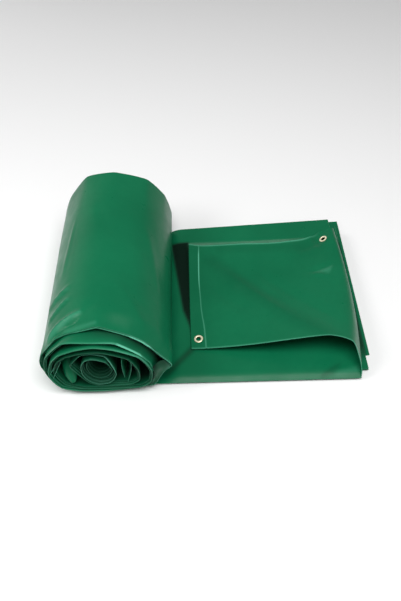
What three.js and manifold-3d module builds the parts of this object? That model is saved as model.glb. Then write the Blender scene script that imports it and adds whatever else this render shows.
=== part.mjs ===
// A coated-cloth tarp, folded lengthwise, rolled up, with the end of its top layer turned back.
// Millimetres, +Z up. X runs from the roll to the loose end, and the roll's axis lies along Y.
// The open end of the roll that shows its turns faces -Y.
import * as THREE from 'three';
import { mergeVertices } from 'three/addons/utils/BufferGeometryUtils.js';
import Module from 'manifold-3d';

// Cloth
const LAYER_THICKNESS = 1.6;
const LAYER_GAP = 2.8;
const PRESSED_GAP = 0.2;
const BAND_THICKNESS = 7.0; // the folded layers together, as they are wound
const HEM_THICKNESS = 2.4;
const PIECE_GAP = 0.3;

// Roll: its outline around the outside, clockwise as seen from the front, at both of its ends
const ROLL_OUTLINE = [
  { at: 'bottom middle', front: [-256, 3.5], back: [-256, 3.5] },
  { at: 'bottom left', front: [-330, 3.5], back: [-330, 3.5] },
  { at: 'lower left', front: [-385, 18], back: [-385, 18] },
  { at: 'left', front: [-411, 82], back: [-411, 86] },
  { at: 'upper left', front: [-387, 157], back: [-388, 150] },
  { at: 'top left', front: [-330, 208], back: [-332, 222] },
  { at: 'top', front: [-256, 228], back: [-252, 237] },
  { at: 'top right', front: [-182, 208], back: [-160, 215] },
  { at: 'upper right', front: [-121, 158], back: [-110, 158] },
  { at: 'right', front: [-90, 95], back: [-90, 92] },
  { at: 'lower right', front: [-98, 30], back: [-98, 30] },
  { at: 'bottom right', front: [-150, 3.5], back: [-150, 3.5] },
];
const WALL = { left: 28, right: 50, top: 42, bottom: 28 }; // what the packed turns take up
const PACKED_TURNS = 3;
const FLAT_TURN = 0.12; // the share of a turn that lies flat on the floor
const CORE = { x: -267, z: 97, across: 42, high: 52, narrowing: 9 };
const LAST_TURN = 4.8;
const STEPS_A_TURN = 24;
const ROLL_ROWS = 5;
const FLOOR_STATIONS = [-140, -178, -216]; // the band's stretch on the floor, before its first turn

// Roll: where the cloth's front edge lies after so many turns, as the turns slide out of each other
const ROLL_FRONT = [
  { turn: 0, y: -265 },
  { turn: 0.25, y: -257 },
  { turn: 0.5, y: -254 },
  { turn: 0.75, y: -268 },
  { turn: 1, y: -278 },
  { turn: 1.5, y: -285 },
  { turn: 2, y: -290 },
  { turn: 3, y: -294 },
  { turn: 3.5, y: -264 },
  { turn: 4, y: -282 },
  { turn: 4.8, y: -288 },
];
const BAND_WIDTH = 545;
const CORNER = { turn: 0.77, reach: 8, turns_wide: 0.07, depth: 90 }; // the outer turn's pointed corner

// Loose end: the layers from the lowest up, by where their edges lie beside the roll and at the end
const LAYERS = [
  { name: 'first', front: [-262, -192], back: [268, 322], end: 421 },
  { name: 'second', front: [-259, -238], back: [266, 318], end: 408 },
  { name: 'third', front: [-259, -238], back: [262, 306], end: 407 },
  { name: 'fourth', front: [-267, -264], back: [262, 302], end: 388 },
];
const LOOSE_START_X = -150;
const LOOSE_END_X = 400;
const OPEN_X = -70; // the layers lie pressed at LOOSE_START_X and are open from here on
const LOOSE_STATIONS = [0, 0.06, 0.12, 0.18, 0.32, 0.46, 0.6, 0.74, 0.87, 0.95, 1];
const FOLD_INSET = 2.2; // how far a layer's flat part ends inside its fold
const FLAT_STOPS = [0.3, 0.6]; // shares of the way from the front edge to the raised back fold
// The raised fold along the back: how far each layer rises, and where its top begins at both ends
const BACK_FOLD = { rise: [0, 0, 4, 17], top: [205, 224], slope: 16, foot: 3, flat_stop: 0.6, inset: 3.8 };
// The top layer's free front edge hangs down
const FRONT_DROOP = { drop: [0, 0, 0, 7], steep: 8, over: 22 };

// Top layer's end: how far right it reaches, from its front edge to its back edge
const TURN_LINE = [
  { y: -264, x: 384 },
  { y: -190, x: 403 },
  { y: -100, x: 406 },
  { y: 0, x: 404 },
  { y: 100, x: 398 },
  { y: 200, x: 391 },
  { y: 302, x: 386 },
];

// Flap: the top layer turned back, by its front edge, middle and back edge, from the turn leftward
const FLAP = [
  { front: [384, -262, 12], middle: [405, -20, 15], back: [390, 262, 26] },
  { front: [383, -252, 30], middle: [408, -20, 28], back: [391, 250, 36] },
  { front: [375, -226, 56], middle: [405, -20, 44], back: [388, 243, 48] },
  { front: [362, -204, 80], middle: [392, -19, 56], back: [379, 240, 54] },
  { front: [347, -199, 88], middle: [374, -18, 60], back: [366, 240, 47] },
  { front: [320, -192, 90], middle: [340, -15, 58], back: [346, 238, 38] },
  { front: [281, -187, 87], middle: [290, -10, 51], back: [322, 222, 36] },
  { front: [214, -187, 76], middle: [216, -5, 39], back: [286, 208, 36] },
  { front: [154, -185, 61], middle: [150, 0, 33], back: [195, 198, 36] },
  { front: [100, -182, 47], middle: [98, 2, 29], back: [110, 197, 36] },
  { front: [53, -178, 35], middle: [45, 5, 28], back: [40, 193, 36] },
  { front: [-8, -174, 24], middle: [-14, 8, 28], back: [-14, 192, 36] },
];
const FLAP_EDGE = { front: [-46, -171, 19], middle: [-48, 10, 27], back: [-48, 199, 36] };
const FLAP_THICKNESS = 2.0;
const FLAP_STEPS = 26;
const FLAP_ROWS = 12;
const FLAP_START_SHARE = 0.035;
// Where the flap starts inside the top layer: how far its cloth laps into it, and its two ends
const ROOT = { lap: 9, front_inset: 1, back_y: 262 };
const END_HEM_STEPS = { along: 3, across: 16 };
// Side hem: where it starts, and the room that is cut for it out of the flap's cloth
const SIDE_HEM = { from_share: 0.29, from_depth: 0.84, along: 24, across: 4 };
const SIDE_ROOM = { thickness: 14, past_weld: 0.0064, past_edge: 0.03 };
// PIECE_GAP as a share of the flap's depth, and of its length at the turn and at the end hem
const GAP_SHARE = { depth: 0.001, turn: 0.005, weld: 0.0008 };

// Eyelets
const EYELET = { outer: 12, hole: 6.5, barrel: 7.4, flange: 1.1, clearance: 0.3, sides: 24, cutter: 12 };
const FRONT_EYELET = { x: -27, y: -142 };
const BACK_EYELET = { x: 353, y: 205 };
const FLAT_AROUND = { inner: 20, outer: 38 }; // the cloth is flat within inner, and free beyond outer
const SEAT_SEARCH = { steps: 200, first: 60 }; // the first steps lie on the turn, above other cloth
const SEAT_NEAR = 0.01;

const MERGE_WITHIN = 1e-4;

const mix = (a, b, t) => a + (b - a) * t;
const clamp01 = (t) => Math.min(1, Math.max(0, t));
const smooth = (t) => clamp01(t) ** 2 * (3 - 2 * clamp01(t));

// A value between the rows of a table, on a smooth curve
function along(rows, key, value, at) {
  const last = rows.length - 1;
  let i = rows.findIndex((row) => row[key] > at) - 1;
  if (i < 0) i = at < rows[0][key] ? 0 : last - 1;
  const [a, b] = [rows[i], rows[i + 1]];
  const t = clamp01((at - a[key]) / (b[key] - a[key]));
  return mix(a[value], b[value], smooth(t));
}

// A closed solid from a grid of points: the cloth's middle surface, given a thickness
function sheetGeometry(grid, thickness) {
  const rows = grid.length;
  const columns = grid[0].length;
  const positions = [];
  for (const side of [0.5, -0.5]) {
    for (let i = 0; i < rows; i++) {
      for (let j = 0; j < columns; j++) {
        const along_i = grid[Math.min(i + 1, rows - 1)][j].clone().sub(grid[Math.max(i - 1, 0)][j]);
        const along_j = grid[i][Math.min(j + 1, columns - 1)].clone().sub(grid[i][Math.max(j - 1, 0)]);
        const normal = along_i.cross(along_j).normalize();
        positions.push(...grid[i][j].clone().addScaledVector(normal, thickness * side).toArray());
      }
    }
  }
  const top = (i, j) => i * columns + j;
  const under = (i, j) => rows * columns + i * columns + j;
  const index = [];
  const quad = (a, b, c, d) => index.push(a, b, c, a, c, d);
  for (let i = 0; i + 1 < rows; i++) {
    for (let j = 0; j + 1 < columns; j++) {
      quad(top(i, j), top(i + 1, j), top(i + 1, j + 1), top(i, j + 1));
      quad(under(i, j), under(i, j + 1), under(i + 1, j + 1), under(i + 1, j));
    }
    quad(top(i, 0), under(i, 0), under(i + 1, 0), top(i + 1, 0));
    quad(top(i, columns - 1), top(i + 1, columns - 1), under(i + 1, columns - 1), under(i, columns - 1));
  }
  for (let j = 0; j + 1 < columns; j++) {
    quad(top(0, j), top(0, j + 1), under(0, j + 1), under(0, j));
    quad(top(rows - 1, j), under(rows - 1, j), under(rows - 1, j + 1), top(rows - 1, j + 1));
  }
  const geometry = new THREE.BufferGeometry();
  geometry.setAttribute('position', new THREE.Float32BufferAttribute(positions, 3));
  geometry.setIndex(index);
  return geometry;
}

// The roll's outline at one end as a closed curve
const outlineCurve = (end) =>
  new THREE.CatmullRomCurve3(
    ROLL_OUTLINE.map((row) => new THREE.Vector3(row[end][0], 0, row[end][1])),
    true,
    'catmullrom',
  );
const OUTLINE = { front: outlineCurve('front'), back: outlineCurve('back') };

// A point of the roll's outline and its outward direction, from the front end (0) to the back (1)
function outlineAt(turn, depth) {
  const share = turn - Math.floor(turn);
  const point = OUTLINE.front.getPoint(share).lerp(OUTLINE.back.getPoint(share), depth);
  point.z = Math.max(point.z, BAND_THICKNESS / 2);
  const ahead = OUTLINE.front.getTangent(share).lerp(OUTLINE.back.getTangent(share), depth);
  const outward = new THREE.Vector3(-ahead.z, 0, ahead.x).normalize();
  return { point, outward };
}

// How far the packed turns reach inward where the outline faces a given way
function wallAt(outward) {
  const sideways = outward.x < 0 ? WALL.left : WALL.right;
  const upright = outward.z < 0 ? WALL.bottom : WALL.top;
  return sideways * outward.x ** 2 + upright * outward.z ** 2;
}

// A point in the middle of the wound band, after so many turns from the floor inward
function woundPoint(turn, depth) {
  const { point, outward } = outlineAt(turn, depth);
  const packed = clamp01((turn - FLAT_TURN) / (PACKED_TURNS - FLAT_TURN));
  const corner =
    CORNER.reach *
    smooth(1 - Math.abs(turn - CORNER.turn) / CORNER.turns_wide) *
    smooth(1 - (depth * BAND_WIDTH) / CORNER.depth);
  point.addScaledVector(outward, corner - wallAt(outward) * packed);
  if (turn > PACKED_TURNS) {
    const angle = Math.atan2(outward.z, outward.x);
    const inner = Math.max(0, turn - PACKED_TURNS - 1) * CORE.narrowing;
    const core = new THREE.Vector3(
      CORE.x + (CORE.across - inner) * Math.cos(angle),
      0,
      CORE.z + (CORE.high - inner) * Math.sin(angle),
    );
    point.lerp(core, smooth(turn - PACKED_TURNS));
  }
  point.y = along(ROLL_FRONT, 'turn', 'y', turn) + depth * BAND_WIDTH;
  return point;
}

// The wound band: first its stretch on the floor, then the turns
function rollGrid() {
  const grid = [];
  const rowAt = (place) => Array.from({ length: ROLL_ROWS + 1 }, (_, j) => place(j / ROLL_ROWS));
  for (const x of FLOOR_STATIONS) {
    grid.push(
      rowAt((depth) => {
        const y = ROLL_FRONT[0].y + depth * BAND_WIDTH;
        return new THREE.Vector3(x, y, BAND_THICKNESS / 2);
      }),
    );
  }
  const steps = Math.round(LAST_TURN * STEPS_A_TURN);
  for (let i = 0; i <= steps; i++) {
    grid.push(rowAt((depth) => woundPoint(i / STEPS_A_TURN, depth)));
  }
  return grid;
}

// How far the loose layers have opened at x, from pressed (0) to loose (1)
const openAt = (x) => smooth((x - LOOSE_START_X) / (OPEN_X - LOOSE_START_X));

// Where a layer's front or back edge lies at x
function edgeAt(level, side, x) {
  const fan = (x - LOOSE_START_X) / (LOOSE_END_X - LOOSE_START_X);
  return mix(...LAYERS[level][side], fan);
}

// A point in the middle of a layer's thickness, with the raised back fold and the front's droop
function layerPoint(level, x, y) {
  const open = openAt(x);
  const pitch = LAYER_THICKNESS + mix(PRESSED_GAP, LAYER_GAP, open);
  const fan = (x - LOOSE_START_X) / (LOOSE_END_X - LOOSE_START_X);
  const foot = mix(...BACK_FOLD.top, fan) - BACK_FOLD.slope;
  const rise = BACK_FOLD.rise[level] * open * smooth((y - foot) / BACK_FOLD.slope);
  const nearFront = 1 - smooth((y - edgeAt(level, 'front', x)) / FRONT_DROOP.over);
  const droop = FRONT_DROOP.drop[level] * open * nearFront ** 2;
  return new THREE.Vector3(x, y, LAYER_THICKNESS / 2 + level * pitch + rise - droop);
}

// The three points of the fold that joins a layer to the next one up
function foldPoints(level, side, share) {
  const x = mix(LOOSE_START_X, mix(LAYERS[level].end, LAYERS[level + 1].end, 0.5), share);
  const edge = mix(edgeAt(level, side, x), edgeAt(level + 1, side, x), 0.5);
  const low = layerPoint(level, x, edge).z;
  const high = layerPoint(level + 1, x, edge).z;
  const radius = (high - low) / 2;
  const out = side === 'back' ? 1 : -1;
  return [-1, 0, 1].map((step) => {
    const angle = (step * Math.PI) / 4;
    const y = edge - out * radius * (1 - Math.cos(angle));
    return new THREE.Vector3(x, y, low + radius + radius * Math.sin(angle));
  });
}

// One back-and-forth section of the loose layers, swept from the roll to the layers' own ends
function looseGrid() {
  return LOOSE_STATIONS.map((share) =>
    LAYERS.flatMap((layer, level) => {
      const flat_x = mix(LOOSE_START_X, layer.end, share);
      const fan = (flat_x - LOOSE_START_X) / (LOOSE_END_X - LOOSE_START_X);
      const top = mix(...BACK_FOLD.top, fan);
      const front = edgeAt(level, 'front', flat_x) + (level === 1 || level === 2 ? FOLD_INSET : 0);
      const back = edgeAt(level, 'back', flat_x) - FOLD_INSET * (level > 1 ? BACK_FOLD.inset : 1);
      const foot = top - BACK_FOLD.slope;
      const stops = [
        front,
        front + FRONT_DROOP.steep,
        front + FRONT_DROOP.over,
        ...FLAT_STOPS.map((t) => mix(front, top, t)),
        foot - BACK_FOLD.foot,
        foot + BACK_FOLD.slope / 2,
        top,
        mix(top, back, BACK_FOLD.flat_stop),
        back,
      ];
      const points = stops.map((y) => {
        const end = level === 3 ? along(TURN_LINE, 'y', 'x', y) : layer.end;
        return layerPoint(level, mix(LOOSE_START_X, end, share), y);
      });
      const backward = level % 2 === 0;
      if (!backward) points.reverse();
      if (level < LAYERS.length - 1) points.push(...foldPoints(level, backward ? 'back' : 'front', share));
      return points;
    }),
  );
}

// The flap's middle surface: three smooth lines from the turn to its left edge, and a smooth curve
// across them. share runs from the turn (0) to the left edge (1), depth from front (0) to back (1).
const flapRows = [...FLAP, FLAP_EDGE];
const flapLines = ['front', 'middle', 'back'].map(
  (key) =>
    new THREE.CatmullRomCurve3(
      flapRows.map((row) => new THREE.Vector3(...row[key])),
      false,
      'centripetal',
    ),
);
const WELD_SHARE = (FLAP.length - 1) / FLAP.length; // where the end hem's weld line lies

function freeFlapPoint(share, depth) {
  const [front, middle, back] = flapLines.map((line) => line.getPoint(share));
  front.multiplyScalar((1 - depth) * (1 - 2 * depth));
  front.addScaledVector(middle, 4 * depth * (1 - depth));
  return front.addScaledVector(back, depth * (2 * depth - 1));
}

// Where an eyelet sits on the flap, and which way the cloth faces there
function eyeletSeat({ x, y }) {
  const { steps, first } = SEAT_SEARCH;
  let best = { distance: Infinity };
  for (let i = first; i <= steps; i++) {
    for (let j = 0; j <= steps; j++) {
      const point = freeFlapPoint(i / steps, j / steps);
      const distance = Math.hypot(point.x - x, point.y - y);
      if (distance < best.distance) best = { distance, point, share: i / steps, depth: j / steps };
    }
  }
  const { point, share, depth } = best;
  const leftward = freeFlapPoint(share + SEAT_NEAR, depth).sub(freeFlapPoint(share - SEAT_NEAR, depth));
  const backward = freeFlapPoint(share, depth + SEAT_NEAR).sub(freeFlapPoint(share, depth - SEAT_NEAR));
  const normal = backward.cross(leftward).normalize();
  return { point, normal };
}
const SEATS = { front: eyeletSeat(FRONT_EYELET), back: eyeletSeat(BACK_EYELET) };

// The flap's surface, made flat around each eyelet
function flapPoint(share, depth) {
  const place = freeFlapPoint(share, depth);
  for (const { point, normal } of Object.values(SEATS)) {
    const away = place.clone().sub(point);
    const pull = 1 - smooth((away.length() - FLAT_AROUND.inner) / (FLAT_AROUND.outer - FLAT_AROUND.inner));
    place.addScaledVector(normal, -away.dot(normal) * pull);
  }
  return place;
}

// A patch of the flap's surface, between two shares and two depths
function flapPatch([fromShare, toShare], [fromDepth, toDepth], steps, rows) {
  return Array.from({ length: steps + 1 }, (_, i) =>
    Array.from({ length: rows + 1 }, (_, j) =>
      flapPoint(mix(fromShare, toShare, i / steps), mix(fromDepth, toDepth, j / rows)),
    ),
  );
}

// The flap with the turn that joins it to the end of the top layer
function flapGrid() {
  const grid = flapPatch([FLAP_START_SHARE, WELD_SHARE], [0, 1], FLAP_STEPS, FLAP_ROWS);
  const foldTop = BACK_FOLD.top[1];
  const ahead = Array.from({ length: FLAP_ROWS - 1 }, (_, j) =>
    mix(LAYERS[3].front[1] + ROOT.front_inset, foldTop - BACK_FOLD.slope, j / (FLAP_ROWS - 2)),
  );
  const root = (inset) =>
    [...ahead, foldTop, ROOT.back_y].map((y) => layerPoint(3, along(TURN_LINE, 'y', 'x', y) - inset, y));
  return [root(ROOT.lap), root(0), ...grid];
}

const manifold = await Module();
manifold.setup();

function solidOf(geometry) {
  const bare = geometry.clone();
  bare.deleteAttribute('normal');
  bare.deleteAttribute('uv');
  const merged = mergeVertices(bare, MERGE_WITHIN);
  return new manifold.Manifold(
    new manifold.Mesh({
      numProp: 3,
      vertProperties: new Float32Array(merged.attributes.position.array),
      triVerts: new Uint32Array(merged.index.array),
    }),
  );
}

function geometryOf(solid) {
  const { vertProperties, triVerts } = solid.getMesh();
  const geometry = new THREE.BufferGeometry();
  geometry.setAttribute('position', new THREE.BufferAttribute(vertProperties, 3));
  geometry.setIndex(new THREE.BufferAttribute(triVerts, 1));
  geometry.computeVertexNormals();
  return geometry;
}

// Turns a shape made around +Y to face along the normal of an eyelet's seat
function seated(geometry, { point, normal }) {
  const turn = new THREE.Quaternion().setFromUnitVectors(new THREE.Vector3(0, 1, 0), normal);
  return geometry.applyQuaternion(turn).translate(...point.toArray());
}

function eyeletHole(seat) {
  const radius = EYELET.barrel + PIECE_GAP;
  return solidOf(seated(new THREE.CylinderGeometry(radius, radius, EYELET.cutter, EYELET.sides), seat));
}

// A hem is a patch of the flap's surface, given a thickness, with a hole for its eyelet
function hemGeometry(patch, seat) {
  const strip = solidOf(sheetGeometry(patch, HEM_THICKNESS));
  return geometryOf(strip.subtract(eyeletHole(seat)));
}

// The end hem fills the flap from its weld line to its left edge
const endHemShares = [WELD_SHARE + GAP_SHARE.weld, 1];
const endHem = hemGeometry(
  flapPatch(endHemShares, [0, 1], END_HEM_STEPS.along, END_HEM_STEPS.across),
  SEATS.front,
);

// The side hem fills the back of the flap between the turn and the end hem
const sideHem = hemGeometry(
  flapPatch(
    [SIDE_HEM.from_share, WELD_SHARE],
    [SIDE_HEM.from_depth, 1],
    SIDE_HEM.along,
    SIDE_HEM.across,
  ),
  SEATS.back,
);
const sideHemRoom = solidOf(
  sheetGeometry(
    flapPatch(
      [SIDE_HEM.from_share - GAP_SHARE.turn, WELD_SHARE + SIDE_ROOM.past_weld],
      [SIDE_HEM.from_depth - GAP_SHARE.depth, 1 + SIDE_ROOM.past_edge],
      SIDE_HEM.along,
      SIDE_HEM.across,
    ),
    SIDE_ROOM.thickness,
  ),
);

// The cloth: the wound band, the loose layers and the flap in one piece
const wound = solidOf(sheetGeometry(rollGrid(), BAND_THICKNESS));
const loose = solidOf(sheetGeometry(looseGrid(), LAYER_THICKNESS));
const flap = solidOf(sheetGeometry(flapGrid(), FLAP_THICKNESS)).subtract(sideHemRoom);
const clothGeometry = geometryOf(wound.add(loose).add(flap));

// A pressed brass eyelet: two flanges with the cloth between them, joined by the barrel
function eyeletGeometry() {
  const { outer, hole, barrel, flange, clearance } = EYELET;
  const seat = HEM_THICKNESS / 2 + clearance;
  const top = seat + flange;
  const bevel = flange / 2;
  const profile = [
    [hole, -top + bevel],
    [hole + bevel, -top],
    [outer - bevel, -top],
    [outer, -seat - bevel],
    [outer - bevel / 2, -seat],
    [barrel, -seat],
    [barrel, seat],
    [outer - bevel / 2, seat],
    [outer, seat + bevel],
    [outer - bevel, top],
    [hole + bevel, top],
    [hole, top - bevel],
  ];
  const points = [...profile, profile[0]].map(([x, y]) => new THREE.Vector2(x, y));
  return new THREE.LatheGeometry(points, EYELET.sides);
}

const greenCloth = () => new THREE.MeshStandardMaterial({ color: 0x1f7048, roughness: 0.35, metalness: 0 });
const brass = () => new THREE.MeshStandardMaterial({ color: 0xe0cf94, roughness: 0.3, metalness: 1 });

function named(name, geometry, material) {
  const mesh = new THREE.Mesh(geometry, material);
  mesh.name = name;
  return mesh;
}

const group = new THREE.Group();
group.add(
  named('tarp_cloth', clothGeometry, greenCloth()),
  named('hem_end', endHem, greenCloth()),
  named('hem_side', sideHem, greenCloth()),
  named('eyelet_front', seated(eyeletGeometry(), SEATS.front), brass()),
  named('eyelet_back', seated(eyeletGeometry(), SEATS.back), brass()),
);

// The origin lies on the floor, under the middle of the whole part
const bounds = new THREE.Box3().setFromObject(group, true);
const middle = bounds.getCenter(new THREE.Vector3());
group.position.set(-middle.x, -middle.y, -bounds.min.z);

export default group;
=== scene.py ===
import math

import bpy
import numpy as np
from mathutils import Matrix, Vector

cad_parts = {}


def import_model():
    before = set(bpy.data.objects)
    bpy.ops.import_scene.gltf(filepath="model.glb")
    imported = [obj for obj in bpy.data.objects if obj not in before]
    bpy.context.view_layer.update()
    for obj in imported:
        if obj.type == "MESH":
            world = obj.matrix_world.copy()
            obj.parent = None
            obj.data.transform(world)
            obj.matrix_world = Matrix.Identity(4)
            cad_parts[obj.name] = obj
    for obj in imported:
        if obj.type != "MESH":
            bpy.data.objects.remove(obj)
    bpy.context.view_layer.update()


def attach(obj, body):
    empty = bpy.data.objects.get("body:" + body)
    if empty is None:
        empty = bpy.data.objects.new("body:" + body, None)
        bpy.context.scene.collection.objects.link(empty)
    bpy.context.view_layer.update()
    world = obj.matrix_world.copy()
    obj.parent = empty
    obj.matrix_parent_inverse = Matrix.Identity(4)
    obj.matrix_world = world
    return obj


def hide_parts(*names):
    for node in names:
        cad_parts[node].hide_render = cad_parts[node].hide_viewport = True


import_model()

# The part's own origin as it lies in the frame
ORIGIN = np.array([-3.883, -14.097, 0.0])
METRES = 0.001

# Cloth
CLOTH_THICKNESS = 0.6
LOOSE_THICKNESS = 1.5
FLAP_THICKNESS = 1.5
HEM_THICKNESS = 2.3
THREADS_A_METRE = 900
EDGE_LIP = 0.45  # how far the middle of a cut edge stands out, in thicknesses
# Cut edges are paler: whitened cloth at the cut, and a painted highlight along it
EDGE_PALE = 0.5  # how pale a cut edge is at least
ROLL_EDGE_PALE = 0.14
LOOSE_EDGE_PALE = 0.4

# Roll, as in the solids: outline from the bottom middle, clockwise as seen from the front
OUTLINE_FRONT = [
    (-256, 3.5), (-330, 3.5), (-385, 18), (-411, 82), (-387, 157), (-330, 208),
    (-256, 228), (-182, 208), (-121, 158), (-90, 95), (-98, 30), (-150, 3.5),
]
OUTLINE_BACK = [
    (-256, 3.5), (-330, 3.5), (-385, 18), (-411, 86), (-388, 150), (-332, 222),
    (-252, 237), (-160, 215), (-110, 158), (-90, 92), (-98, 30), (-150, 3.5),
]
BAND_THICKNESS = 7.0
BAND_WIDTH = 545
WALL = {"left": 28, "right": 50, "top": 42, "bottom": 28}
PACKED_TURNS = 3
FLAT_TURN = 0.12
CORE = {"x": -267, "z": 97, "across": 42, "high": 52, "narrowing": 9}
LAST_TURN = 6.24
CORNER = {"turn": 0.77, "reach": 8, "turns_wide": 0.07, "depth": 90}
FACETS = 0.55  # how much of the outline's curvature is left between its corners
FACETED_FRONT = 0.12  # the share of the length, from the front, over which the facets fade
FACETED_BACK = {"from": 0.7, "over": 0.3}
FLOOR_X = [-140, -178, -216]  # the band's stretch on the floor before its first turn
FLOOR_TURNS = [-0.14, -0.1, -0.05]
CLOTH_A_TURN = 800  # millimetres, for the weave alone

# Front end of the winding: after so many turns, X and Z of the cloth's outer side, and its front's Y
RAIL = [
    (0.00, -256, 0.4, -265), (0.083, -330, 0.4, -263), (0.167, -388, 14, -262),
    (0.25, -414, 84, -260), (0.28, -413, 106, -260), (0.305, -406, 128, -258),
    (0.325, -395, 142, -257), (0.35, -380, 163, -256), (0.38, -363, 186, -256),
    (0.405, -341, 200, -255), (0.44, -312, 209, -254), (0.465, -285, 218, -254),
    (0.495, -261, 225, -254), (0.53, -229, 214, -256), (0.575, -190, 199, -260),
    (0.61, -165, 182, -262), (0.65, -143, 160, -264), (0.70, -119, 128, -267),
    (0.755, -94, 92, -271), (0.79, -113, 68, -271), (0.83, -127, 40, -273),
    (0.88, -140, 17, -276), (0.94, -190, 8.5, -277), (1.00, -256, 7.4, -278),
    (1.09, -325, 7.4, -279), (1.165, -379, 22, -279), (1.25, -402, 82, -276),
    (1.32, -394, 133, -273), (1.37, -369, 169, -275), (1.41, -343, 199, -279),
    (1.44, -325, 206, -282), (1.50, -275, 206, -284), (1.56, -222, 205, -285),
    (1.61, -192, 182, -285), (1.65, -166, 156, -284), (1.70, -145, 119, -281),
    (1.76, -136, 68, -279), (1.83, -144, 34, -279), (1.91, -176, 16, -283),
    (2.00, -256, 14.6, -290), (2.09, -322, 14.6, -290), (2.165, -368, 30, -290),
    (2.25, -391, 84, -288), (2.33, -378, 135, -286), (2.38, -352, 170, -290),
    (2.42, -318, 186, -290), (2.46, -286, 196, -291), (2.50, -265, 197, -291),
    (2.56, -225, 188, -291), (2.61, -194, 173, -291), (2.65, -169, 156, -290),
    (2.70, -152, 129, -290), (2.76, -141, 94, -289), (2.82, -145, 52, -288),
    (2.90, -172, 26, -288), (3.00, -256, 21.8, -289), (3.09, -318, 21.8, -288),
    (3.165, -359, 40, -286), (3.25, -379, 86, -283), (3.33, -366, 130, -283),
    (3.38, -343, 155, -286), (3.42, -327, 161, -286), (3.46, -305, 169, -286),
    (3.50, -268, 174, -287), (3.56, -235, 165, -287), (3.61, -197, 145, -286),
    (3.67, -182, 118, -285), (3.74, -173, 91, -285), (3.80, -173, 56, -285),
    (3.88, -194, 35, -285), (4.00, -257, 29.0, -284), (4.06, -281, 31, -284),
    (4.11, -302, 46, -284), (4.17, -322, 82, -284), (4.22, -337, 116, -284),
    (4.27, -322, 139, -284), (4.32, -307, 157, -283), (4.40, -278, 158, -280),
    (4.48, -251, 147, -279), (4.56, -239, 128, -283), (4.62, -233, 109, -285),
    (4.70, -228, 82, -286), (4.77, -237, 57, -286), (4.83, -250, 43, -286),
    (4.90, -274, 38, -286), (4.97, -292, 48, -286), (5.03, -304, 64, -286),
    (5.11, -311, 86, -286), (5.20, -309, 120, -286), (5.27, -298, 139, -286),
    (5.33, -283, 145, -286), (5.42, -265, 141, -286), (5.50, -249, 131, -285),
    (5.60, -243, 110, -280), (5.70, -238, 84, -276), (5.78, -247, 63, -274),
    (5.85, -258, 53, -274), (5.92, -274, 48, -274), (6.00, -287, 56, -274),
    (6.08, -296, 72, -274), (6.16, -300, 92, -274), (6.24, -298, 114, -274),
    (6.30, -291, 128, -274),
]
RAIL_FACETS = 0.6
RAIL_START = 0.1  # the turns over which the table takes over from the outline
RAIL_TURNS = [0, 1, 2.6, 3.8]
RAIL_DEPTH = [70, 50, 60, 240]  # how far back each of these turns keeps the form of its front end

# The wound band's layers from the outermost inward, and how far the front edge of each lies back
LAYERS_WOUND = 7
LAYER_PITCH = 1.0
OUTER_INSET = 0.3  # how many pitches the outermost layer's middle lies inside the outer side
FRONT_RECESS = [0.0, 0.0, 5.0, 5.0, 8.0, 8.0, 3.0]
INNER_RECESS = [0.0, 0.0, 6.0, 6.0, 14.0, 14.0, 22.0]
INNER_FROM_TURN = 3.6  # the recess turns from the first list into the second over one turn

# Rows and steps of the band's grids, from front to back and around the turns
WOUND_ROWS = [0.0, 0.01, 0.05, 0.25, 1.0]
OUTER_ROWS = 70
OUTER_FIRST_ROWS = [0, 0.005]
OUTER_ROWS_FROM = 0.035
OUTER_ROWS_CROWDED = 1.6  # more than 1 moves the rows toward the front
OUTER_TURNS = [0, 0.26, 0.52, 1.02]
OUTER_STEPS = [22, 76, 60]
INNER_TURNS = [1.02, 2.6, LAST_TURN]
INNER_STEPS = [98, 172]

# Painted highlights along the roll's creases: line in X and Y, half width, and how pale
CREASE_GLINTS = [
    ([(-306, -203), (-380, -240)], 14, 0.2),
    ([(-266, -238), (-336, -246)], 14, 0.1),
    ([(-344, -114), (-384, -130)], 10, 0.1),
    ([(-340, -148), (-380, -172)], 10, 0.1),
]
GLINTS_ABOVE = 100  # the roll's under side has none
GLINT_NARROWING = 0.4
CREASE_ROOM = 4.5  # how far the outer turn's inner layers keep clear of its creases
CREASE_ROOM_GROWN = 0.06
CREASE_ROOM_GONE = {"from": 0.9, "over": 0.1}
PALE_EDGE = 5.4  # how far the painted highlight, with some whitened cloth, reaches from a fold's crest

# How pale the band's front edge is after so many turns: a painted highlight along its fold crests, with some
# whitened cloth
PALE = [
    (0, 0.2), (0.3, 0.1), (0.5, 0.2), (0.57, 0.4), (0.59, 1.2), (0.64, 1.1), (0.67, 0.4),
    (0.78, 0.4), (1.2, 0.1), (1.5, 0.15), (1.57, 0.4), (1.59, 1.6), (1.645, 1.5), (1.67, 0.2),
    (2.5, 0.1), (2.62, 0.4), (2.9, 0.1), (4.3, 0.15), (4.5, 0.9), (4.58, 0.9), (4.7, 0.4),
    (6.3, 0.15),
]

CREASE_START = 0.3  # the share of its length over which a crease rises
CREASE_END = {"from": 0.75, "over": 0.35}
CREASE_REACH = 60  # this far off a crease's line, half of its height is left
CREASE_SHARPNESS = 1.3

# Creases of the roll's outer layer: from, to, height, and half width at each end
CREASES = [
    ((-290, -193, 223), (-390, -243, 152), 9.0, (10, 24)),
    ((-300, -224, 218), (-376, -250, 170), -2.4, (7, 14)),
    ((-329, -104, 211), (-399, -138, 128), 6.0, (9, 17)),
    ((-326, -140, 213), (-394, -186, 145), 5.0, (9, 15)),
    ((-252, -160, 227), (-334, -246, 210), -1.4, (22, 26)),
    ((-238, -92, 228), (-140, -262, 166), 2.2, (16, 34)),
    ((-170, 120, 205), (-118, -120, 155), 2.4, (20, 24)),
    ((-300, 180, 228), (-240, 30, 232), -1.6, (16, 34)),
    ((-352, 150, 205), (-372, -60, 180), 2.2, (10, 20)),
]

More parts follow.
